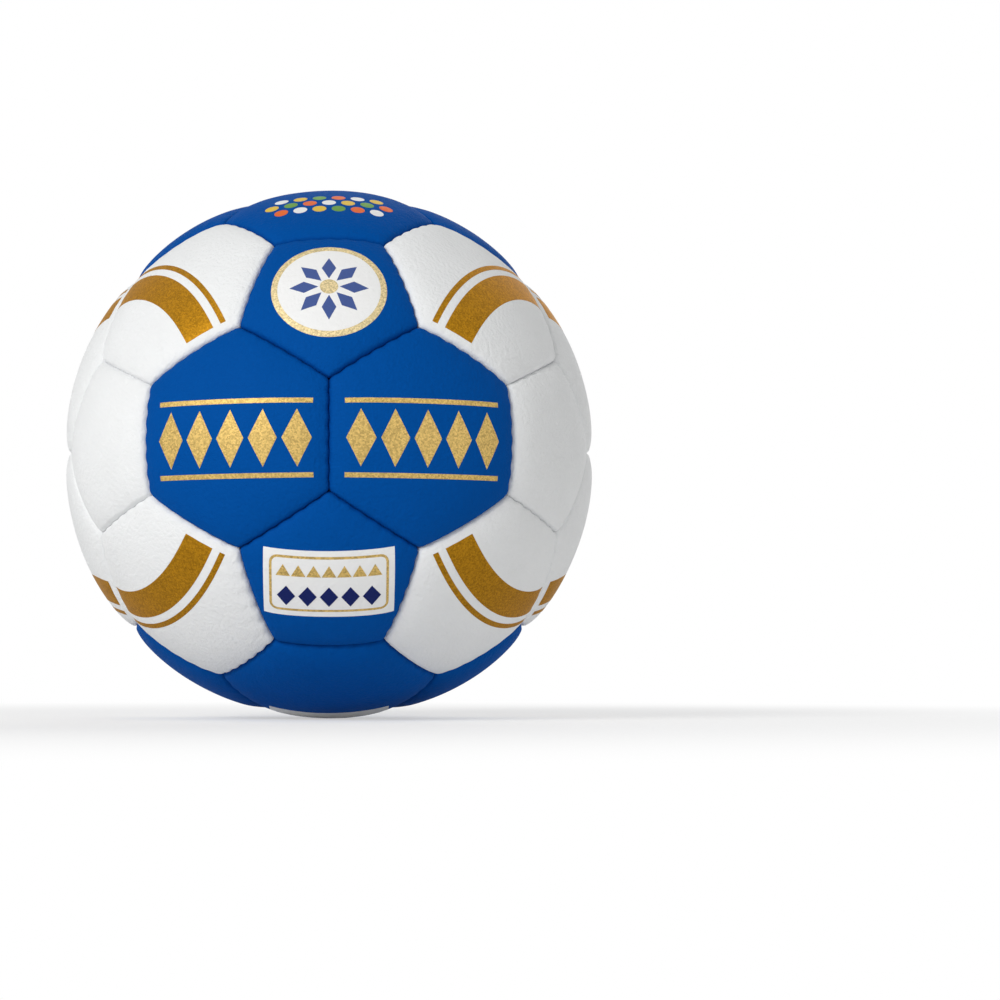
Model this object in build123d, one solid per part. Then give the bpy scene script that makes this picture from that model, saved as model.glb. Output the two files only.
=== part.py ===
from build123d import *

import os
from itertools import combinations, product
from math import acos, asin, cos, degrees, pi, sin, sqrt

# A handball for children: thirty-two leather panels sewn together by their folded edges, each backed
# with foam and cloth, round an air bladder with its valve. Lengths are in millimetres. The origin is
# the middle of the ball, +Z is up, and the front, where two hexagons share an upright seam, faces -Y.

# Ball
ball_circumference = 470.0
crown_drop = 0.6  # from the top of a panel's crown down to the middle of its seams
seam_gap = 0.1  # between the folded edges of two panels

# Panel, from the outside in
skin_thickness = 1.2
foam_thickness = 3.0
cloth_thickness = 0.8
rim_radius = 2.0  # where the skin rolls over into its folded edge
corner_radius = 2.6  # of a panel, where three panels meet

# Stitching
thread_diameter = 0.7
stitch_pitch = 4.7
stitch_depth = 3.6  # below the crown
stitch_end_margin = 2.5  # from the end of a seam to its first stitch
thread_clearance = 0.1
thread_tail = 1.0

# Bladder
bladder_clearance = 0.2
bladder_wall = 1.0

# Valve, along the axis of one hexagon at the back
neck_radius = 4.2
neck_recess = 0.5  # of the valve's mouth below the crown
neck_clearance = 0.2  # round the neck, in the panel and its backing
flange_radius = 11.0
flange_thickness = 1.2
stem_radius = 5.2
stem_length = 12.0
valve_fit = 0.05
insert_radius = 2.6
bead_radius = 0.7
lip_opening_radius = 1.9
lip_height = 1.5
tip_length = 4.0
tip_end_radius = 1.4
needle_radius = 1.05
needle_depth = 14.0
funnel_radius = 1.8
funnel_depth = 1.2
slit_width = 0.2

# Cuts run past the faces they cut by this much
overrun = 1.0

# Each panel starts as a block hollowed out to this share of the ball's radius
hollow_share = 0.5

# Sizes that follow from the ones above
ball_radius = ball_circumference / (2 * pi)
foam_outer_radius = ball_radius - skin_thickness
cloth_outer_radius = foam_outer_radius - foam_thickness
panel_inner_radius = cloth_outer_radius - cloth_thickness
bladder_outer_radius = panel_inner_radius - bladder_clearance
bladder_inner_radius = bladder_outer_radius - bladder_wall
thread_radius = thread_diameter / 2
stitch_radius = ball_radius - stitch_depth
stitch_hole_radius = thread_radius + thread_clearance
thread_channel = thread_diameter + 2 * thread_clearance
thread_offset = seam_gap / 2 + skin_thickness + thread_clearance + thread_radius

# Directions of the panels on a ball of twenty hexagons and twelve pentagons
golden = (1 + sqrt(5)) / 2
first_words = (("left", "right"), ("front", "back"), ("bottom", "top"))
second_words = (("left", "right"), ("front", "back"), ("lower", "upper"))
valve_panel = "back_right_hexagon"


def panel_directions():
    """Unit directions of the hexagons and of the pentagons, by panel name."""
    hexagons = {}
    pentagons = {}
    kinds = ((pentagons, "pentagon", 1, 1), (hexagons, "hexagon", 2, 1 / golden))
    left_right, front_back, low_high = range(3)
    for first, i, j in product(range(3), range(2), range(2)):
        for group, word, axis_step, reach in kinds:
            second = (first + axis_step) % 3
            direction = [0, 0, 0]
            direction[first] = golden * (2 * i - 1)
            direction[second] = reach * (2 * j - 1)
            name = f"{first_words[first][i]}_{second_words[second][j]}_{word}"
            group[name] = Vector(*direction).normalized()
    for i, j, k in product(range(2), repeat=3):
        words = (second_words[low_high][k], first_words[front_back][j], first_words[left_right][i])
        hexagons["_".join(words) + "_hexagon"] = Vector(2 * i - 1, 2 * j - 1, 2 * k - 1).normalized()
    return hexagons, pentagons


def nearest(direction, others):
    """The other direction that is closest to this one."""
    return max((other for other in others if other is not direction), key=direction.dot)


hexagon_directions, pentagon_directions = panel_directions()
front_hexagon = hexagon_directions["front_left_hexagon"]
front_pentagon = nearest(front_hexagon, pentagon_directions.values())
hexagon_seam_angle = acos(front_hexagon.dot(nearest(front_hexagon, hexagon_directions.values()))) / 2
pentagon_seam_angle = acos(front_hexagon.dot(front_pentagon)) - hexagon_seam_angle
seam_half_angle = asin(2 / sqrt(58 + 18 * sqrt(5)))  # half of what one seam spans, seen from the middle


def sideways(direction, other):
    """The part of one direction that stands square to another."""
    return (other - direction * direction.dot(other)).normalized()


def seam_plane(direction, seam_angle, neighbour):
    """Plane of a seam: X out through its middle, Y along it, Z across it to the neighbour."""
    toward = sideways(direction, neighbour)
    out = direction * cos(seam_angle) + toward * sin(seam_angle)
    across = toward * cos(seam_angle) - direction * sin(seam_angle)
    return Plane((0, 0, 0), x_dir=out, z_dir=across)


def panel_seams(side_count, seam_angle):
    """Planes of the seams round a panel whose middle is on +Z."""
    neighbours = [Vector(1, 0, 0).rotate(Axis.Z, turn * 360 / side_count) for turn in range(side_count)]
    return [seam_plane(Vector(0, 0, 1), seam_angle, neighbour) for neighbour in neighbours]


def round_ball(radius):
    """A sphere about the origin whose poles and seam line stay clear of the +Z side."""
    return Rot(0, 90, 0) * Sphere(radius)


def crowned_block(side_count, seam_angle, inset, depth):
    """Block between the seams of a panel, inset from them, under its crown and with rounded corners."""
    seam_radius = ball_radius - crown_drop
    rise = (ball_radius**2 - seam_radius**2) / (2 * (ball_radius - seam_radius * cos(seam_angle)))
    block = Pos(0, 0, rise) * round_ball(ball_radius - rise - depth)
    block -= round_ball(ball_radius * hollow_share)
    for seam in panel_seams(side_count, seam_angle):
        block = split(block, bisect_by=seam.offset(-inset), keep=Keep.BOTTOM)
    return fillet(block.edges().filter_by(GeomType.LINE), max(corner_radius - inset, thread_radius))


def stitch_places():
    """Places of the stitches on the plane of a seam."""
    length = 2 * seam_half_angle * stitch_radius - 2 * stitch_end_margin
    count = int(length / stitch_pitch) + 1
    step = degrees(stitch_pitch / stitch_radius)
    start = -step * (count - 1) / 2
    return PolarLocations(stitch_radius, count, start, step * (count - 1), endpoint=True)


def panel_layers(side_count, seam_angle):
    """Leather skin, foam pad and cloth lining of a panel whose middle is on +Z."""
    flange_inset = seam_gap / 2 + skin_thickness
    outside = crowned_block(side_count, seam_angle, seam_gap / 2, 0)
    outside = fillet(outside.faces().sort_by(Axis.Z)[-1].edges(), rim_radius)
    inside = crowned_block(side_count, seam_angle, flange_inset, skin_thickness)
    backing = crowned_block(side_count, seam_angle, flange_inset + thread_channel, skin_thickness)
    hole = Cylinder(stitch_hole_radius, 2 * (flange_inset + overrun))
    holes = [
        seam.location * place * hole
        for seam in panel_seams(side_count, seam_angle)
        for place in stitch_places()
    ]
    skin = outside - round_ball(panel_inner_radius) - inside - holes
    foam = backing - round_ball(cloth_outer_radius)
    cloth = backing & (round_ball(cloth_outer_radius) - round_ball(panel_inner_radius))
    return skin, foam, cloth


def seam_thread():
    """Thread of one seam, in and out through the stitch holes of both folded edges."""
    tail_angle = thread_tail / stitch_radius
    points = []
    side = -1
    for place in stitch_places():
        hole = place.position
        points.append(hole + Vector(0, 0, side * thread_offset))
        side = -side
        points.append(hole + Vector(0, 0, side * thread_offset))
    points.insert(0, points[0].rotate(Axis.Z, -degrees(tail_angle)))
    points.append(points[-1].rotate(Axis.Z, degrees(tail_angle)))
    path = Polyline(*points)
    section = Plane(path @ 0, z_dir=path % 0) * Circle(thread_radius)
    return sweep(section, path=path, transition=Transition.RIGHT)


def valve():
    """Housing and insert of the valve, with its axis on +Z."""
    mouth = ball_radius - neck_recess
    stem_end = bladder_inner_radius - stem_length
    stem_top = bladder_inner_radius - flange_thickness / 2
    lip_top = stem_end + lip_height
    bead_height = (lip_top + mouth) / 2

    def rod(radius, low, high):
        return Pos(0, 0, low) * Cylinder(radius, high - low, align=(Align.CENTER, Align.CENTER, Align.MIN))

    flange = round_ball(bladder_inner_radius) - round_ball(bladder_inner_radius - flange_thickness)
    flange &= rod(flange_radius, stem_end, mouth)
    housing = flange + rod(neck_radius, stem_top, mouth) + rod(stem_radius, stem_end, stem_top)
    housing -= rod(insert_radius + valve_fit, lip_top, mouth + overrun)
    housing -= rod(lip_opening_radius + valve_fit, stem_end - overrun, mouth)
    housing -= Pos(0, 0, bead_height) * Torus(insert_radius, bead_radius + valve_fit)

    tip_end = stem_end - tip_length
    tip = Pos(0, 0, (tip_end + stem_end) / 2) * Cone(tip_end_radius, lip_opening_radius, tip_length)
    insert = rod(insert_radius, lip_top, mouth) + rod(lip_opening_radius, stem_end, lip_top) + tip
    insert += Pos(0, 0, bead_height) * Torus(insert_radius, bead_radius)
    needle_end = mouth - funnel_depth - needle_depth
    insert -= rod(needle_radius, needle_end, mouth)
    insert -= Pos(0, 0, mouth - funnel_depth / 2) * Cone(needle_radius, funnel_radius, funnel_depth)
    insert -= Pos(0, 0, tip_end) * Box(2 * needle_radius, slit_width, 2 * (needle_end - tip_end))
    return housing, insert


def panel_location(direction, others):
    """Stands a panel that was made on +Z at its own place on the ball."""
    toward = sideways(direction, nearest(direction, others))
    return Plane((0, 0, 0), x_dir=toward, z_dir=direction).location


def write(name, shapes):
    """Write one node: a single solid, or like solids that share the node."""
    node = shapes[0] if len(shapes) == 1 else Compound(shapes)
    export_step(node, f"parts/{name}.step")


os.makedirs("parts", exist_ok=True)
valve_location = panel_location(hexagon_directions[valve_panel], pentagon_directions.values())
neck_hole_depth = ball_radius - panel_inner_radius + overrun
neck_hole = Pos(0, 0, ball_radius) * Cylinder(neck_radius + neck_clearance, 2 * neck_hole_depth)

for word, side_count, seam_angle, directions, others in (
    ("hexagon", 6, hexagon_seam_angle, hexagon_directions, pentagon_directions.values()),
    ("pentagon", 5, pentagon_seam_angle, pentagon_directions, hexagon_directions.values()),
):
    layers = panel_layers(side_count, seam_angle)
    pads = []
    linings = []
    for name, direction in directions.items():
        place = panel_location(direction, others)
        skin, foam, cloth = [layer - neck_hole for layer in layers] if name == valve_panel else layers
        write(name, [place * skin.solid()])
        pads.append(place * foam.solid())
        linings.append(place * cloth.solid())
    write(f"{word}_foam_pads", pads)
    write(f"{word}_cloth_linings", linings)

thread = seam_thread().solid()
hexagon_seams = [
    seam_plane(one, hexagon_seam_angle, other).location * thread
    for one, other in combinations(hexagon_directions.values(), 2)
    if one.dot(other) > cos(2 * hexagon_seam_angle + seam_half_angle)
]
pentagon_seams = [
    seam_plane(one, pentagon_seam_angle, other).location * thread
    for one, other in product(pentagon_directions.values(), hexagon_directions.values())
    if one.dot(other) > cos(pentagon_seam_angle + hexagon_seam_angle + seam_half_angle)
]
write("hexagon_seam_threads", hexagon_seams)
write("pentagon_seam_threads", pentagon_seams)

bladder = round_ball(bladder_outer_radius) - round_ball(bladder_inner_radius)
bladder -= Pos(0, 0, bladder_outer_radius) * Cylinder(neck_radius + valve_fit, 2 * (bladder_wall + overrun))
write("bladder", [valve_location * bladder.solid()])
housing, insert = valve()
write("valve_housing", [valve_location * housing.solid()])
write("valve_insert", [valve_location * insert.solid()])
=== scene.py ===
import math
from itertools import product

import bmesh
import bpy
from mathutils import Matrix, Vector, noise


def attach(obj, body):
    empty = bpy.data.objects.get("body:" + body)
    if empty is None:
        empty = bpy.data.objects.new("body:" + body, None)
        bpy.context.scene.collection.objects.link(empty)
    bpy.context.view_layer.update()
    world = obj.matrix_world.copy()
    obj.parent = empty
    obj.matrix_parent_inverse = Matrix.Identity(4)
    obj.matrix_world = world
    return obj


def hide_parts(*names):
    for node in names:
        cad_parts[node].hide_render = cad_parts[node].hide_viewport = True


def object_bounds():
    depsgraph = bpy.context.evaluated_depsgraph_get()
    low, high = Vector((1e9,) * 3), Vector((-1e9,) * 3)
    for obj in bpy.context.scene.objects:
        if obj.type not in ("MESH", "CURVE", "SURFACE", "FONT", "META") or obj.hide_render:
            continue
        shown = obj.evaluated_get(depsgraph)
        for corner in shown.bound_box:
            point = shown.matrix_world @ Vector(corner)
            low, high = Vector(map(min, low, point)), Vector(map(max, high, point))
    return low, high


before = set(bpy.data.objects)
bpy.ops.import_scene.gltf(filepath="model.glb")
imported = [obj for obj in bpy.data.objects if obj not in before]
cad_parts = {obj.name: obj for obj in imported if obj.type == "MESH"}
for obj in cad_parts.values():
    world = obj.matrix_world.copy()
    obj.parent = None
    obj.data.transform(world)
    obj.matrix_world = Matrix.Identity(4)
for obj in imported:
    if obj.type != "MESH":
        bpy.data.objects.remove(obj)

cad_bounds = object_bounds()

# Bladder and valve
# The bladder is a thin balloon of black butyl rubber inside the ball. The valve is a firmer rubber tube
# with a soft plug, bonded into it, and only its mouth shows, in the middle of one hexagon at the back.
grain_roughness = 0.55
grain_detail = 3
mottle_spread = 14
roughness_spread = 0.08
plain_specular = 0.5


def new_material(name, colour, roughness, specular=plain_specular):
    """A Principled material with its constant values on the shader's own sockets, and that shader."""
    material = bpy.data.materials.new(name)
    material.use_nodes = True
    shader = material.node_tree.nodes["Principled BSDF"]
    shader.inputs["Base Color"].default_value = (*colour, 1)
    shader.inputs["Roughness"].default_value = roughness
    shader.inputs["Specular IOR Level"].default_value = specular
    return material, shader


def new_noise(tree, place, scale):
    """Noise texture on Object coordinates whose scale comes from another node."""
    texture = tree.nodes.new("ShaderNodeTexNoise")
    texture.inputs["Detail"].default_value = grain_detail
    texture.inputs["Roughness"].default_value = grain_roughness
    tree.links.new(place.outputs["Object"], texture.inputs["Vector"])
    tree.links.new(scale.outputs["Value"], texture.inputs["Scale"])
    return texture


def grain_group(name):
    """Node group: bumps of a given size and depth in metres, as a normal, and a wider mottle."""
    tree = bpy.data.node_groups.new(name, "ShaderNodeTree")
    tree.interface.new_socket("Size", in_out="INPUT", socket_type="NodeSocketFloat")
    tree.interface.new_socket("Depth", in_out="INPUT", socket_type="NodeSocketFloat")
    tree.interface.new_socket("Normal", in_out="OUTPUT", socket_type="NodeSocketVector")
    tree.interface.new_socket("Mottle", in_out="OUTPUT", socket_type="NodeSocketFloat")
    start = tree.nodes.new("NodeGroupInput")
    end = tree.nodes.new("NodeGroupOutput")
    place = tree.nodes.new("ShaderNodeTexCoord")
    fine = tree.nodes.new("ShaderNodeMath")
    fine.operation = "DIVIDE"
    fine.inputs[0].default_value = 1
    wide = tree.nodes.new("ShaderNodeMath")
    wide.operation = "DIVIDE"
    wide.inputs[1].default_value = mottle_spread
    bump = tree.nodes.new("ShaderNodeBump")
    tree.links.new(start.outputs["Size"], fine.inputs[1])
    tree.links.new(fine.outputs["Value"], wide.inputs[0])
    bumps = new_noise(tree, place, fine)
    mottle = new_noise(tree, place, wide)
    tree.links.new(start.outputs["Depth"], bump.inputs["Distance"])
    tree.links.new(bumps.outputs["Fac"], bump.inputs["Height"])
    tree.links.new(bump.outputs["Normal"], end.inputs["Normal"])
    tree.links.new(mottle.outputs["Fac"], end.inputs["Mottle"])
    return tree


fine_grain = grain_group("fine_grain")


def colour_mix(tree, factor, colour, other):
    """Node that goes from one colour to another with a factor."""
    mix = tree.nodes.new("ShaderNodeMix")
    mix.data_type = "RGBA"
    mix.inputs["A"].default_value = (*colour, 1)
    mix.inputs["B"].default_value = (*other, 1)
    tree.links.new(factor, mix.inputs["Factor"])
    return mix


def grained(name, colour, roughness, size, depth, mottled_share, specular=plain_specular):
    """Material with fine bumps and uneven gloss, whose colour goes softly down to a share of itself."""
    material, shader = new_material(name, colour, roughness, specular)
    tree = material.node_tree
    grain = tree.nodes.new("ShaderNodeGroup")
    grain.node_tree = fine_grain
    grain.inputs["Size"].default_value = size
    grain.inputs["Depth"].default_value = depth
    darker = [part * mottled_share for part in colour]
    tone = colour_mix(tree, grain.outputs["Mottle"], colour, darker)
    gloss = tree.nodes.new("ShaderNodeMapRange")
    gloss.inputs["To Min"].default_value = roughness - roughness_spread
    gloss.inputs["To Max"].default_value = roughness + roughness_spread
    tree.links.new(grain.outputs["Mottle"], gloss.inputs["Value"])
    tree.links.new(gloss.outputs["Result"], shader.inputs["Roughness"])
    tree.links.new(tone.outputs["Result"], shader.inputs["Base Color"])
    tree.links.new(grain.outputs["Normal"], shader.inputs["Normal"])
    return material


def dress(node, material):
    """Give a CAD node its material."""
    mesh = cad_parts[node].data
    mesh.materials.clear()
    mesh.materials.append(material)


bladder_rubber = grained(
    "bladder_rubber",
    colour=(0.016, 0.016, 0.017),
    roughness=0.5,
    size=0.0008,
    depth=0.00005,
    mottled_share=0.7,
)
dress("bladder", bladder_rubber)
valve_rubber = grained(
    "valve_rubber",
    colour=(0.012, 0.012, 0.013),
    roughness=0.5,
    size=0.0005,
    depth=0.00003,
    mottled_share=0.7,
    specular=0.2,
)
dress("valve_housing", valve_rubber)
dress("valve_insert", valve_rubber)

# Foam pads, cloth linings and sewing thread
# Each panel is backed with a pad of pale open foam and a lining of woven cloth, both glued on. Waxed
# thread sews the panels' folded edges together inside the ball, so next to nothing of this shows.
foam = grained(
    "foam",
    colour=(0.72, 0.68, 0.52),
    roughness=0.9,
    size=0.0009,
    depth=0.0003,
    mottled_share=0.85,
)
lining_cloth = grained(
    "lining_cloth",
    colour=(0.62, 0.6, 0.54),
    roughness=0.85,
    size=0.0006,
    depth=0.0002,
    mottled_share=0.85,
)
sewing_thread = grained(
    "sewing_thread",
    colour=(0.7, 0.68, 0.6),
    roughness=0.6,
    size=0.0003,
    depth=0.00008,
    mottled_share=0.85,
)
for shape in ("hexagon", "pentagon"):
    dress(f"{shape}_foam_pads", foam)
    dress(f"{shape}_cloth_linings", lining_cloth)
    dress(f"{shape}_seam_threads", sewing_thread)

# Cover panels
# Twenty hexagons and twelve pentagons of soft polyurethane leather, die-cut, padded and sewn edge to
# edge. Each bulges between its seams, rolls over at its edge and is drawn in at every stitch.
ball_girth = 0.47
ball_radius = ball_girth / (2 * math.pi)
crown_drop = 0.0006
seam_gap = 0.00001
skin_thickness = 0.0008
roll_radius = 0.0012
roll_bend = math.radians(72)
shoulder_drop = 0.0013
shoulder_reach = 0.0028
corner_radius = 0.0014
flange_depths = (0.0034, 0.0050)
crown_rows = 30
roll_rows = 8
row_crowding = 1.35
stitch_pitch = 0.0047
stitched_half_length = 0.0130
stitch_fade = 0.0025
stitch_reach = 0.0200
stitch_widening_share = 0.20
stitch_strength = 0.75
stitch_unevenness = 0.5
strength_change_by_seam = 9
strength_change_per_metre = 90
stitch_sink = 0.00015
sink_reach = 0.0025
pucker_depth = 0.00005
pucker_reach = 0.0065
bow_width = 0.00033
bow_reach = 0.0030
bow_strength = 0.7
bow_change_by_seam = 7
mean_bow = 2 / math.pi
bow_guide = Vector((0.31, 0.57, 0.76))
bulge_depth = 0.00025
bulges_across_ball = 3.1
bulge_fade_power = 4
valve_hole_radius = 0.0044
valve_hole_row = 5
valve_panel = "back_right_hexagon"
golden = (1 + math.sqrt(5)) / 2
first_words = (("left", "right"), ("front", "back"), ("bottom", "top"))
second_words = (("left", "right"), ("front", "back"), ("lower", "upper"))


def panel_directions():
    """Unit directions of the hexagons and of the pentagons, by node name."""
    hexagons = {}
    pentagons = {}
    kinds = ((pentagons, "pentagon", 1, 1), (hexagons, "hexagon", 2, 1 / golden))
    for first, i, j in product(range(3), range(2), range(2)):
        for group, word, step, reach in kinds:
            second = (first + step) % 3
            direction = Vector((0, 0, 0))
            direction[first] = golden * (2 * i - 1)
            direction[second] = reach * (2 * j - 1)
            name = f"{first_words[first][i]}_{second_words[second][j]}_{word}"
            group[name] = direction.normalized()
    for i, j, k in product(range(2), repeat=3):
        name = f"{second_words[2][k]}_{first_words[1][j]}_{first_words[0][i]}_hexagon"
        hexagons[name] = Vector((2 * i - 1, 2 * j - 1, 2 * k - 1)).normalized()
    return hexagons, pentagons


hexagons, pentagons = panel_directions()
panels = {**hexagons, **pentagons}
front_hexagon = hexagons["front_left_hexagon"]
hexagon_seam_angle = front_hexagon.angle(hexagons["front_right_hexagon"]) / 2
pentagon_seam_angle = front_hexagon.angle(pentagons["front_upper_pentagon"]) - hexagon_seam_angle


def smooth_step(value):
    """Smooth rise from 0 to 1."""
    value = min(max(value, 0), 1)
    return value * value * (3 - 2 * value)


def panel_turn(direction, others):
    """Rotation that stands a panel made on +Z at its place, an edge towards its nearest other panel."""
    nearest = max(others, key=direction.dot)
    toward = (nearest - direction * direction.dot(nearest)).normalized()
    return Matrix((toward, direction.cross(toward), direction)).transposed()


def outline_radius(angle, sides, apothem, corner):
    """Distance from the middle of a regular polygon with rounded corners to its outline."""
    half = math.pi / sides
    off = abs((angle + half) % (2 * half) - half)
    if math.tan(off) * apothem <= (apothem - corner) * math.tan(half):
        return apothem / math.cos(off)
    reach = (apothem - corner) / math.cos(half)
    return reach * math.cos(half - off) + math.sqrt(corner**2 - (reach * math.sin(half - off)) ** 2)


def stitch_pattern(middle, along):
    """How strongly a stitch draws a seam in at a place along it, and how far the seam bows there."""
    sewn = 1 - smooth_step((abs(along) - stitched_half_length) / stitch_fade)
    spot = middle * strength_change_by_seam + Vector((0, 0, abs(along) * strength_change_per_metre))
    uneven = stitch_strength + stitch_unevenness * noise.noise(spot)
    phase = math.pi * along / stitch_pitch
    drawn = sewn * uneven * math.sin(phase) ** 2
    lean = bow_strength + noise.noise(middle * bow_change_by_seam)
    bow = sewn * lean * (abs(math.cos(phase)) - mean_bow)
    return drawn, bow


def turn_outwards(sheet, direction):
    """Make every face of a panel's open sheet point out of the ball."""
    bmesh.ops.recalc_face_normals(sheet, faces=sheet.faces[:])
    crown = max(sheet.faces, key=lambda face: face.calc_center_median().dot(direction))
    if crown.normal.dot(direction) < 0:
        bmesh.ops.reverse_faces(sheet, faces=sheet.faces[:])
    sheet.normal_update()


def panel_face(name):
    """Outer face of a panel as a bmesh, on the ball, with how deep each vertex is in its seam's roll."""
    is_hexagon = name in hexagons
    sides = 6 if is_hexagon else 5
    seam_angle = hexagon_seam_angle if is_hexagon else pentagon_seam_angle
    turn = panel_turn(panels[name], (pentagons if is_hexagon else hexagons).values())
    rows = crown_rows + roll_rows
    first_row = valve_hole_row if name == valve_panel else 0
    hole_radius = valve_hole_radius if name == valve_panel else 0
    half = math.pi / sides
    sheet = bmesh.new()
    groove = sheet.verts.layers.float.new("groove")
    first_corner = Matrix.Rotation(half - math.pi / 2, 4, "Z")
    reach = 1 / math.cos(half)
    bmesh.ops.create_circle(sheet, cap_ends=True, segments=sides, radius=reach, matrix=first_corner)
    bmesh.ops.poke(sheet, faces=sheet.faces[:])
    bmesh.ops.subdivide_edges(sheet, edges=sheet.edges[:], cuts=rows - 1, use_grid_fill=True)

    # The flat polygon lies on the plane that touches the ball, seen from the ball's middle
    flat_scale = math.cos(seam_angle)
    apothem = ball_radius * math.tan(seam_angle) - seam_gap / 2 / flat_scale
    corner = corner_radius / flat_scale
    edge_normals = [Vector((math.cos(2 * half * k), math.sin(2 * half * k))) for k in range(sides)]
    edge_middles = []
    for normal in edge_normals:
        edge_middles.append(turn @ Vector((*(normal * apothem), ball_radius)).normalized())
    seam_radius = ball_radius - crown_drop
    rise = (ball_radius**2 - seam_radius**2) / (2 * (ball_radius - seam_radius * flat_scale))
    crown_radius = ball_radius - rise

    def seam_place(normal, spot):
        """Arc length of a spot along a seam from its middle."""
        along = Vector((-normal.y, normal.x)).dot(spot) * flat_scale
        return ball_radius * math.atan(along / ball_radius)

    hidden = []
    for vertex in sheet.verts:
        flat = vertex.co.xy
        level = max(flat.dot(normal) for normal in edge_normals)
        row = level * rows
        if round(row) < first_row:
            hidden.append(vertex)
            continue
        side = max(range(sides), key=lambda k: flat.dot(edge_normals[k]))
        angle = math.atan2(flat.y, flat.x)
        outline = outline_radius(angle, sides, apothem, corner)
        heading = Vector((math.cos(angle), math.sin(angle)))
        drawn = stitch_pattern(edge_middles[side], seam_place(edge_normals[side], heading * outline))[0]
        roll_depth = roll_radius * (1 + stitch_widening_share * drawn)
        roll_width = roll_depth / flat_scale**2
        crown_edge = outline - roll_width * math.sin(roll_bend)
        drop = 0
        if row <= crown_rows:
            share = (row - first_row) / (crown_rows - first_row)
            even = 1 - (1 - share) ** row_crowding
            shape = smooth_step(share)
            round_edge = apothem - roll_radius / flat_scale**2
            edge = round_edge + shape * (crown_edge - round_edge)
            distance = hole_radius + even * (edge - hole_radius)
        else:
            bend = (row - crown_rows) / roll_rows * roll_bend
            distance = outline - roll_width * (math.sin(roll_bend) - math.sin(bend))
            drop = roll_depth * (1 - math.cos(bend))
        # Depth in the roll, 0 on the crown and 1 at the seam: the mask for the leather's painted seam
        # shade.
        vertex[groove] = drop / (roll_depth * (1 - math.cos(roll_bend)))
        spot = heading * distance

        # The leather falls away to its seams, stitches draw it down there, and the seams bow between them
        pull = 0
        sink = 0
        shift = Vector((0, 0))
        for normal, middle in zip(edge_normals, edge_middles):
            away = (apothem - normal.dot(spot)) * flat_scale**2
            if away > stitch_reach:
                continue
            across = turn @ Vector((*(normal * flat_scale), -math.sin(seam_angle)))
            lie = 1 if across.dot(bow_guide) > 0 else -1
            pull += math.exp(-away / shoulder_reach) ** 2
            drawn, bow = stitch_pattern(middle, seam_place(normal, spot))
            shift += normal * bow * lie * bow_width / flat_scale**2 * math.exp(-away / bow_reach)
            sink += drawn * stitch_sink * math.exp(-away / sink_reach)
            sink += drawn * pucker_depth * math.exp(-away / pucker_reach)
        sink += shoulder_drop * math.sqrt(pull)
        spot += shift
        local = Vector((*spot, ball_radius)).normalized()
        slope = math.sqrt(1 - local.z**2)
        height = rise * local.z + math.sqrt(crown_radius**2 - (rise * slope) ** 2)
        out = turn @ local
        fade = 1 - level**bulge_fade_power
        bulge = bulge_depth * noise.noise(out * bulges_across_ball) * fade
        vertex.co = out * (height - drop - sink + bulge)
    bmesh.ops.delete(sheet, geom=hidden, context="VERTS")
    turn_outwards(sheet, panels[name])
    return sheet


def piece_from(name, sheet, material):
    """A finished object from a bmesh, smooth, at the origin."""
    for face in sheet.faces:
        face.smooth = True
    mesh = bpy.data.meshes.new(name)
    sheet.to_mesh(mesh)
    mesh.materials.append(material)
    piece = bpy.data.objects.new(name, mesh)
    bpy.context.scene.collection.objects.link(piece)
    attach(piece, "root")
    return piece


def leather(name, colour, painted_seam_shade):
    """Soft leather with a fine grain, with painted shade darkening its colour down in the seams."""
    material = grained(
        name,
        colour,
        roughness=0.7,
        size=0.0010,
        depth=0.00030,
        mottled_share=0.93,
        specular=0.03,
    )
    tree = material.node_tree
    base_colour = tree.nodes["Principled BSDF"].inputs["Base Color"]
    tone = base_colour.links[0].from_socket
    # Painted shade: the colour goes to a darker one deep in the seam's roll, where shade falls.
    groove = tree.nodes.new("ShaderNodeAttribute")
    groove.attribute_name = "groove"
    seam_shading_mix = colour_mix(tree, groove.outputs["Fac"], colour, painted_seam_shade)
    tree.links.new(tone, seam_shading_mix.inputs["A"])
    tree.links.new(seam_shading_mix.outputs["Result"], base_colour)
    return material


def evened(face):
    """Copy of a panel's face with each vertex moved out to the ball's radius and its own radius kept."""
    sheet = face.copy()
    own_radius = sheet.verts.layers.float.new("own_radius")
    for vertex in sheet.verts:
        vertex[own_radius] = vertex.co.length
        vertex.co *= ball_radius / vertex.co.length
    return sheet


# The second colour of each leather is painted shade for the bottom of its seams.
blue_leather = leather("blue_leather", colour=(0.0, 0.074, 0.332), painted_seam_shade=(0.0, 0.05, 0.27))
white_leather = leather("white_leather", colour=(0.87, 0.88, 0.88), painted_seam_shade=(0.85, 0.86, 0.87))
blue_beginnings = ("front_left_h", "front_right_h", "back_left_h", "back_right_h", "top_", "bottom_")
blue_beginnings += ("front_upper_p", "front_lower_p", "back_upper_p", "back_lower_p")
even_faces = {}
for name in panels:
    is_blue = name.startswith(blue_beginnings)
    face = panel_face(name)
    even_faces[name] = evened(face)
    rim = [edge for edge in face.edges if edge.is_boundary]
    if name == valve_panel:
        halfway = hexagon_seam_angle / 2
        rim = [edge for edge in rim if edge.verts[0].co.angle(panels[name]) > halfway]
    for depth in flange_depths:
        grown = bmesh.ops.extrude_edge_only(face, edges=rim)["geom"]
        rim = [item for item in grown if isinstance(item, bmesh.types.BMEdge)]
        for vertex in {vertex for edge in rim for vertex in edge.verts}:
            vertex.co = vertex.co.normalized() * (ball_radius - crown_drop - depth)
    turn_outwards(face, panels[name])
    bmesh.ops.solidify(face, geom=face.faces[:], thickness=skin_thickness)
    bmesh.ops.recalc_face_normals(face, faces=face.faces[:])
    panel = piece_from(f"{name}_cover", face, blue_leather if is_blue else white_leather)
    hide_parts(name)

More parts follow.
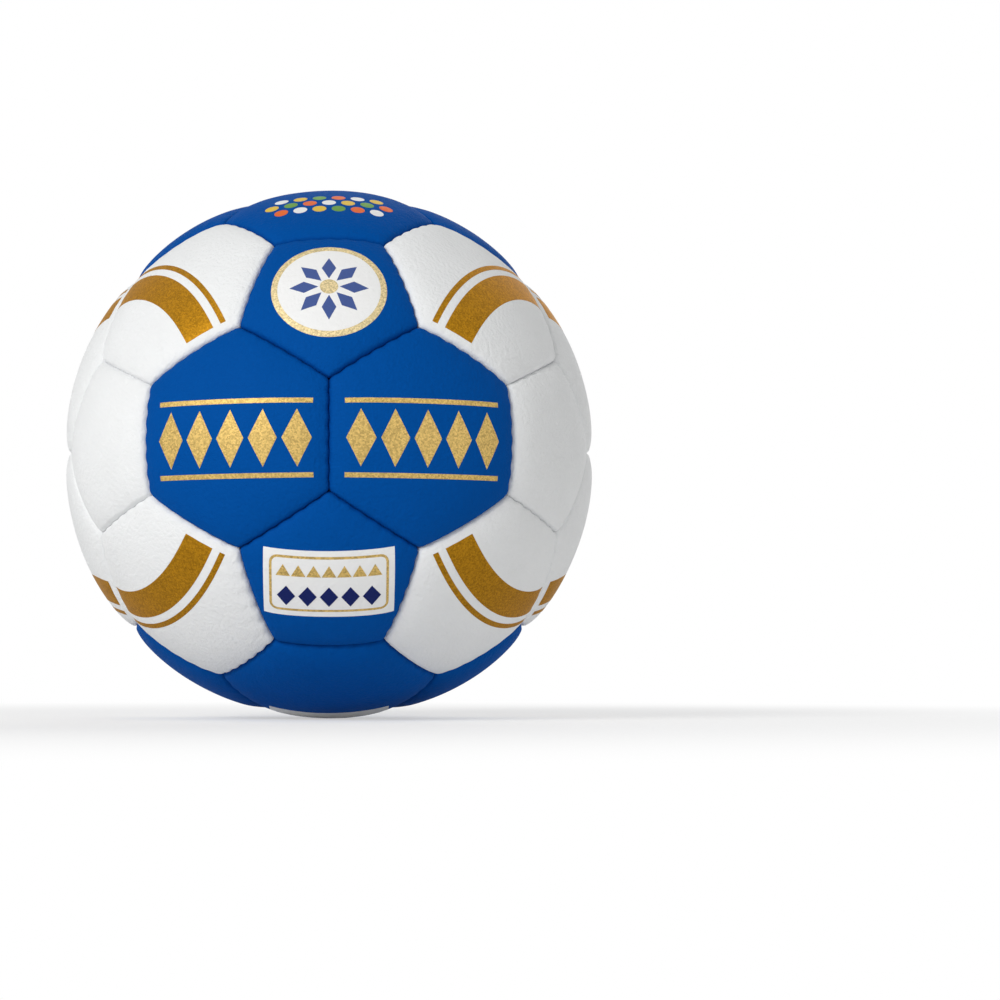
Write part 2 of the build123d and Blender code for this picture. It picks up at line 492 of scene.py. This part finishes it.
# Gold print on the panels
# Screen print in gold ink full of metal flakes: a frieze of lozenges between two lines on the front
# hexagons and a ribbon in waves round each side, a thin line beside it. It is a thin film on the leather.
film_step = 0.00003
film_root_share = 0.5
film_edge_angle = math.radians(40)
cut_tolerance = 1e-8


def panel_frame(name):
    """A panel's axes: out of the ball, up and to the right."""
    out = panels[name]
    up = (Vector((0, 0, 1)) - out * out.z).normalized()
    return out, up, up.cross(out)


def outline_cuts(name, corners):
    """Planes that cut out a convex outline, from its corners right and up of the panel's middle."""
    out, up, right = panel_frame(name)
    cuts = []
    for (u, v), (next_u, next_v) in zip(corners, corners[1:] + corners[:1]):
        cuts.append((right * u + up * v, right * (next_v - v) - up * (next_u - u)))
    return cuts


def rectangle(left, low, right, high):
    """Corners of a rectangle."""
    return [(left, low), (right, low), (right, high), (left, high)]


def polygon(u, v, radius, sides):
    """Corners of a regular polygon about a point, the first one straight up."""
    angles = [math.pi / 2 + k * 2 * math.pi / sides for k in range(sides)]
    return [(u + radius * math.cos(angle), v + radius * math.sin(angle)) for angle in angles]


def lozenge(u, v, width, height, turn=0.0):
    """Corners of a lozenge about a point, turned about the panel's middle."""
    corners = [(u + width / 2, v), (u, v + height / 2), (u - width / 2, v), (u, v - height / 2)]
    turned = Matrix.Rotation(turn, 2)
    return [tuple(turned @ Vector(corner)) for corner in corners]


def printed(name, panel, shapes, layer, material):
    """Film of ink: each shape is cut by planes out of the panel's even face and laid on the leather."""
    ink = bmesh.new()
    for cuts in shapes:
        film = even_faces[panel].copy()
        for point, away in cuts:
            bmesh.ops.bisect_plane(
                film,
                geom=film.verts[:] + film.edges[:] + film.faces[:],
                dist=cut_tolerance,
                plane_co=point,
                plane_no=away,
                clear_outer=True,
            )
        own_radius = film.verts.layers.float["own_radius"]
        for vertex in film.verts:
            vertex.co *= vertex[own_radius] / vertex.co.length
        film.normal_update()
        for vertex in film.verts:
            vertex.co += vertex.normal * film_step * layer
        thickness = film_step * (layer + film_root_share)
        bmesh.ops.solidify(film, geom=film.faces[:], thickness=thickness)
        shape = bpy.data.meshes.new("shape")
        film.to_mesh(shape)
        ink.from_mesh(shape)
        bpy.data.meshes.remove(shape)
    bmesh.ops.recalc_face_normals(ink, faces=ink.faces[:])
    for edge in ink.edges:
        edge.smooth = edge.calc_face_angle(0) < film_edge_angle
    return piece_from(name, ink, material)


flakes_per_metre = 2600
flake_dimmest = 0.72
flake_brightest = 1.3
flake_depth = 0.00008
flake_tilt = 0.35


def flake_group(name):
    """Node group: small flakes, each with its own brightness and tilt."""
    tree = bpy.data.node_groups.new(name, "ShaderNodeTree")
    tree.interface.new_socket("Brightness", in_out="OUTPUT", socket_type="NodeSocketFloat")
    tree.interface.new_socket("Normal", in_out="OUTPUT", socket_type="NodeSocketVector")
    end = tree.nodes.new("NodeGroupOutput")
    place = tree.nodes.new("ShaderNodeTexCoord")
    cells = tree.nodes.new("ShaderNodeTexVoronoi")
    cells.inputs["Scale"].default_value = flakes_per_metre
    split = tree.nodes.new("ShaderNodeSeparateColor")
    level = tree.nodes.new("ShaderNodeMapRange")
    level.inputs["To Min"].default_value = flake_dimmest
    level.inputs["To Max"].default_value = flake_brightest
    bump = tree.nodes.new("ShaderNodeBump")
    bump.inputs["Distance"].default_value = flake_depth
    bump.inputs["Strength"].default_value = flake_tilt
    tree.links.new(place.outputs["Object"], cells.inputs["Vector"])
    tree.links.new(cells.outputs["Color"], split.inputs["Color"])
    tree.links.new(split.outputs["Red"], level.inputs["Value"])
    tree.links.new(split.outputs["Green"], bump.inputs["Height"])
    tree.links.new(level.outputs["Result"], end.inputs["Brightness"])
    tree.links.new(bump.outputs["Normal"], end.inputs["Normal"])
    return tree


flakes = flake_group("flakes")
gold_roughness = 0.5
gold_metallic = 0.4
gold_specular = 0.15
gold_edge_shine = (0.7, 0.45, 0.14, 1)


def gold_ink(name, colour):
    """Ink full of gold flakes."""
    material, shader = new_material(name, colour, gold_roughness, gold_specular)
    shader.inputs["Metallic"].default_value = gold_metallic
    shader.inputs["Specular Tint"].default_value = gold_edge_shine
    tree = material.node_tree
    flake = tree.nodes.new("ShaderNodeGroup")
    flake.node_tree = flakes
    shine = tree.nodes.new("ShaderNodeVectorMath")
    shine.operation = "SCALE"
    shine.inputs[0].default_value = colour
    tree.links.new(flake.outputs["Brightness"], shine.inputs["Scale"])
    tree.links.new(shine.outputs["Vector"], shader.inputs["Base Color"])
    tree.links.new(flake.outputs["Normal"], shader.inputs["Normal"])
    return material


def row_places(count, pitch):
    """Places of a row of like marks, spread evenly about the middle."""
    return [(k - (count - 1) / 2) * pitch for k in range(count)]


light_gold = gold_ink("light_gold", (0.57, 0.395, 0.13))
deep_gold = gold_ink("deep_gold", (0.36, 0.17, 0.008))
frieze_height = -0.001
frieze_shift = 0.0011
frieze_reach = 0.0215
lozenge_width = 0.0076
lozenge_height = 0.0150
lozenge_pitch = 0.0088
lozenge_count = 5
lozenge_places = row_places(lozenge_count, lozenge_pitch)
line_offset = 0.0097
line_width = 0.0013
for side, middle in (("left", frieze_shift), ("right", -frieze_shift)):
    front = f"front_{side}_hexagon"
    outlines = [lozenge(middle + u, frieze_height, lozenge_width, lozenge_height) for u in lozenge_places]
    for level in (frieze_height - line_offset, frieze_height + line_offset):
        low = level - line_width / 2
        outlines.append(rectangle(middle - frieze_reach, low, middle + frieze_reach, low + line_width))
    shapes = [outline_cuts(front, corners) for corners in outlines]
    printed(f"frieze_{side}", front, shapes, layer=1, material=light_gold)

print_margin = 0.0026
neighbour_share = 2.1
wide_arc = (math.radians(32.0), math.radians(38.5))
thin_arc = (math.radians(40.2), math.radians(41.4))
crests = (wide_arc, thin_arc)
pentagon_spread = pentagons["left_front_pentagon"].angle(pentagons["top_left_pentagon"])
dips = [(pentagon_spread - outer, pentagon_spread - inner) for inner, outer in crests]


def margin_cuts(name):
    """Planes that keep a print on a hexagon clear of its seams."""
    out = panels[name]
    cuts = []
    for other in panels.values():
        if hexagon_seam_angle < out.angle(other) < hexagon_seam_angle * neighbour_share:
            toward = (other - out * out.dot(other)).normalized()
            across = toward * math.cos(hexagon_seam_angle) - out * math.sin(hexagon_seam_angle)
            cuts.append((across * -print_margin, across))
    return cuts


def arc_print(panel, middle, arcs):
    """Gold arcs on a panel about the middle of a pentagon, kept clear of the panel's seams."""
    shapes = []
    for inner, outer in arcs:
        near_cut = (middle * ball_radius * math.cos(inner), middle)
        far_cut = (middle * ball_radius * math.cos(outer), -middle)
        shapes.append([*margin_cuts(panel), near_cut, far_cut])
    printed(f"ribbon_{panel}", panel, shapes, layer=1, material=deep_gold)


for side, (height, pole) in product(("left", "right"), (("upper", "top"), ("lower", "bottom"))):
    arc_print(f"{side}_{height}_hexagon", pentagons[f"{pole}_{side}_pentagon"], dips)
    for end in ("front", "back"):
        arc_print(f"{height}_{end}_{side}_hexagon", pentagons[f"{side}_{end}_pentagon"], crests)

# Badge and label on the two front pentagons
# A round white badge with a pale gold rim and a blue rosette above, and a white oblong label with a
# gold border and rows of plain marks below, both printed in layers of flat ink.


def flat_ink(name, colour):
    """Plain ink that shows a little of the leather's grain."""
    return grained(
        name,
        colour,
        roughness=0.5,
        size=0.0010,
        depth=0.00020,
        mottled_share=0.95,
        specular=0.12,
    )


white_ink = flat_ink("white_ink", (0.88, 0.88, 0.87))
navy_ink = flat_ink("navy_ink", (0.006, 0.014, 0.11))
slate_ink = flat_ink("slate_ink", (0.06, 0.10, 0.29))
pale_gold = gold_ink("pale_gold", (0.66, 0.54, 0.30))
badge_panel = "front_upper_pentagon"
badge_radius = 0.0153
badge_rim = 0.0017
badge_sides = 64
petal_count = 8
petal_width = 0.0038
petal_length = 0.0076
petal_offset = 0.0066
middle_radius = 0.0024
middle_sides = 24
petals = []
for k in range(petal_count):
    turn = k * 2 * math.pi / petal_count
    petals.append(lozenge(0, petal_offset, petal_width, petal_length, turn))
badge_layers = (
    ("rim", [polygon(0, 0, badge_radius, badge_sides)], pale_gold),
    ("ground", [polygon(0, 0, badge_radius - badge_rim, badge_sides)], white_ink),
    ("petals", petals, slate_ink),
    ("middle", [polygon(0, 0, middle_radius, middle_sides)], pale_gold),
)
for layer, (word, outlines, ink) in enumerate(badge_layers, start=1):
    shapes = [outline_cuts(badge_panel, corners) for corners in outlines]
    printed(f"badge_{word}", badge_panel, shapes, layer, ink)


corner_steps = 4


def rounded_rectangle(left, low, right, high, radius):
    """Corners of a rectangle with rounded corners, from the left end of the lower left one."""
    corners = []
    middles = rectangle(left + radius, low + radius, right - radius, high - radius)
    for quarter, (u, v) in enumerate(middles):
        for step in range(corner_steps + 1):
            angle = math.pi + (quarter + step / corner_steps) * math.pi / 2
            corners.append((u + radius * math.cos(angle), v + radius * math.sin(angle)))
    return corners


label_panel = "front_lower_pentagon"
label_width = 0.0345
label_height = 0.0196
label_rise = 0.0006
border_inset = 0.0016
border_width = 0.0007
border_radius = 0.0022
row_offset = 0.0035
upper_mark_count = 7
upper_mark_sides = 3
upper_mark_radius = 0.0022
upper_mark_pitch = 0.0040
lower_mark_count = 5
lower_mark_width = 0.0048
lower_mark_height = 0.0060
lower_mark_pitch = 0.0056


def label_inset(inset, radius):
    """Corners of the label, made smaller all round, and rounded where a radius is given."""
    half = label_width / 2 - inset
    low = label_rise - label_height / 2 + inset
    high = label_rise + label_height / 2 - inset
    if radius == 0:
        return rectangle(-half, low, half, high)
    return rounded_rectangle(-half, low, half, high, radius)


upper_marks = []
for place in row_places(upper_mark_count, upper_mark_pitch):
    upper_marks.append(polygon(place, label_rise + row_offset, upper_mark_radius, upper_mark_sides))
lower_marks = []
for place in row_places(lower_mark_count, lower_mark_pitch):
    lower_marks.append(lozenge(place, label_rise - row_offset, lower_mark_width, lower_mark_height))
label_layers = (
    ("ground", [label_inset(0, 0)], white_ink),
    ("border", [label_inset(border_inset, border_radius)], light_gold),
    ("field", [label_inset(border_inset + border_width, border_radius - border_width)], white_ink),
    ("upper_marks", upper_marks, light_gold),
    ("lower_marks", lower_marks, navy_ink),
)
for layer, (word, outlines, ink) in enumerate(label_layers, start=1):
    shapes = [outline_cuts(label_panel, corners) for corners in outlines]
    printed(f"label_{word}", label_panel, shapes, layer, ink)

# Dots on the top and strip underneath
# Three staggered rows of bright dots on the top hexagon and a plain white strip on the bottom one, both
# printed in flat ink on the blue leather.
dots_panel = "top_front_hexagon"
dot_colours = {
    "orange": (0.75, 0.13, 0.015),
    "white": (0.85, 0.85, 0.84),
    "yellow": (0.75, 0.5, 0.05),
    "green": (0.12, 0.3, 0.04),
}
dot_row_heights = (-0.0130, -0.0085, -0.0040)
dot_row_counts = (6, 7, 6)
dot_pitch = 0.0052
dot_radius = 0.0019
dot_sides = 20
dot_places = []
for height, count in zip(dot_row_heights, dot_row_counts):
    for place in row_places(count, dot_pitch):
        dot_places.append((place, height))
for number, (word, colour) in enumerate(dot_colours.items()):
    shapes = []
    for u, v in dot_places[number :: len(dot_colours)]:
        shapes.append(outline_cuts(dots_panel, polygon(u, v, dot_radius, dot_sides)))
    ink = flat_ink(f"{word}_dot_ink", colour)
    printed(f"top_dots_{word}", dots_panel, shapes, layer=1, material=ink)
strip_panel = "bottom_front_hexagon"
strip_half_length = 0.0165
strip_low = -0.0170
strip_high = -0.0085
strip_corners = rectangle(-strip_half_length, strip_low, strip_half_length, strip_high)
strip = outline_cuts(strip_panel, strip_corners)
printed("bottom_strip", strip_panel, [strip], layer=1, material=white_ink)

# Floor, light and camera
# A plain pale floor under the ball, soft light from the upper left with weaker ones from the right and
# behind, and the camera a little below the ball's middle, as the photograph was taken.
floor_half_size = 6
floor_colour = (0.9, 0.9, 0.9)
floor_roughness = 0.8
fade_start = 0.05
fade_end = 0.30
fade_least = 0.5
white_level = (1, 1, 1, 1)
sky_strength = 0.3


def seen_directly(tree):
    """Value that is 1 for rays from the camera, mirrors and glass, and 0 for rays that carry light."""
    path = tree.nodes.new("ShaderNodeLightPath")
    seen = path.outputs["Is Camera Ray"]
    for kind in ("Is Glossy Ray", "Is Transmission Ray"):
        either = tree.nodes.new("ShaderNodeMath")
        either.operation = "MAXIMUM"
        tree.links.new(seen, either.inputs[0])
        tree.links.new(path.outputs[kind], either.inputs[1])
        seen = either.outputs["Value"]
    return seen


floor_sheet = bmesh.new()
bmesh.ops.create_grid(floor_sheet, x_segments=1, y_segments=1, size=floor_half_size)
floor_height = min(cad_bounds[0][2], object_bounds()[0][2])
bmesh.ops.translate(floor_sheet, verts=floor_sheet.verts[:], vec=(0, 0, floor_height))
floor_mesh = bpy.data.meshes.new("floor")
floor_sheet.to_mesh(floor_mesh)
floor = bpy.data.objects.new("floor", floor_mesh)
bpy.context.scene.collection.objects.link(floor)
floor_paper, shader = new_material("floor_paper", floor_colour, floor_roughness)
floor_mesh.materials.append(floor_paper)
tree = floor_paper.node_tree
glow = tree.nodes.new("ShaderNodeEmission")
glow.inputs["Color"].default_value = white_level
place = tree.nodes.new("ShaderNodeTexCoord")
distance = tree.nodes.new("ShaderNodeVectorMath")
distance.operation = "LENGTH"
fade = tree.nodes.new("ShaderNodeMapRange")
fade.interpolation_type = "SMOOTHSTEP"
fade.inputs["From Min"].default_value = ball_radius + fade_start
fade.inputs["From Max"].default_value = ball_radius + fade_end
fade.inputs["To Min"].default_value = fade_least
seen = tree.nodes.new("ShaderNodeMath")
seen.operation = "MULTIPLY"
blend = tree.nodes.new("ShaderNodeMixShader")
tree.links.new(place.outputs["Object"], distance.inputs[0])
tree.links.new(distance.outputs["Value"], fade.inputs["Value"])
tree.links.new(fade.outputs["Result"], seen.inputs[0])
tree.links.new(seen_directly(tree), seen.inputs[1])
tree.links.new(seen.outputs["Value"], blend.inputs["Fac"])
tree.links.new(shader.outputs["BSDF"], blend.inputs[1])
tree.links.new(glow.outputs["Emission"], blend.inputs[2])
underside = tree.nodes.new("ShaderNodeNewGeometry")
clear = tree.nodes.new("ShaderNodeBsdfTransparent")
one_sided = tree.nodes.new("ShaderNodeMixShader")
tree.links.new(underside.outputs["Backfacing"], one_sided.inputs["Fac"])
tree.links.new(blend.outputs["Shader"], one_sided.inputs[1])
tree.links.new(clear.outputs["BSDF"], one_sided.inputs[2])
tree.links.new(one_sided.outputs["Shader"], tree.nodes["Material Output"].inputs["Surface"])

world = bpy.data.worlds.new("studio")
world.use_nodes = True
bpy.context.scene.world = world
tree = world.node_tree
background = tree.nodes["Background"]
background.inputs["Color"].default_value = white_level
background.inputs["Strength"].default_value = sky_strength
white = tree.nodes.new("ShaderNodeBackground")
white.inputs["Color"].default_value = white_level
mix = tree.nodes.new("ShaderNodeMixShader")
tree.links.new(seen_directly(tree), mix.inputs["Fac"])
tree.links.new(background.outputs["Background"], mix.inputs[1])
tree.links.new(white.outputs["Background"], mix.inputs[2])
tree.links.new(mix.outputs["Shader"], tree.nodes["World Output"].inputs["Surface"])


def soft_light(name, spot, size, power):
    """Square area light that looks at the ball."""
    lamp = bpy.data.lights.new(name, "AREA")
    lamp.size = size
    lamp.energy = power
    light = bpy.data.objects.new(name, lamp)
    light.location = spot
    light.rotation_euler = (-Vector(spot)).to_track_quat("-Z", "Y").to_euler()
    bpy.context.scene.collection.objects.link(light)


soft_light("key", spot=(-1.2, -1.5, 0.95), size=1.0, power=29)
soft_light("fill", spot=(1.3, -1.2, 0.2), size=1.2, power=5.5)
soft_light("back", spot=(0.9, 1.6, 1.0), size=2.2, power=15)

camera_distance = 0.785
camera_rise = math.radians(-4.3)
lens = bpy.data.cameras.new("camera")
lens.sensor_width = 36
lens.lens = 99.8
lens.shift_x = 0.171
lens.shift_y = -0.045
camera = bpy.data.objects.new("camera", lens)
camera.location = (0, -camera_distance * math.cos(camera_rise), camera_distance * math.sin(camera_rise))
camera.rotation_euler = (-camera.location).to_track_quat("-Z", "Y").to_euler()
bpy.context.scene.collection.objects.link(camera)
bpy.context.scene.camera = camera
bpy.context.scene.view_settings.view_transform = "Standard"
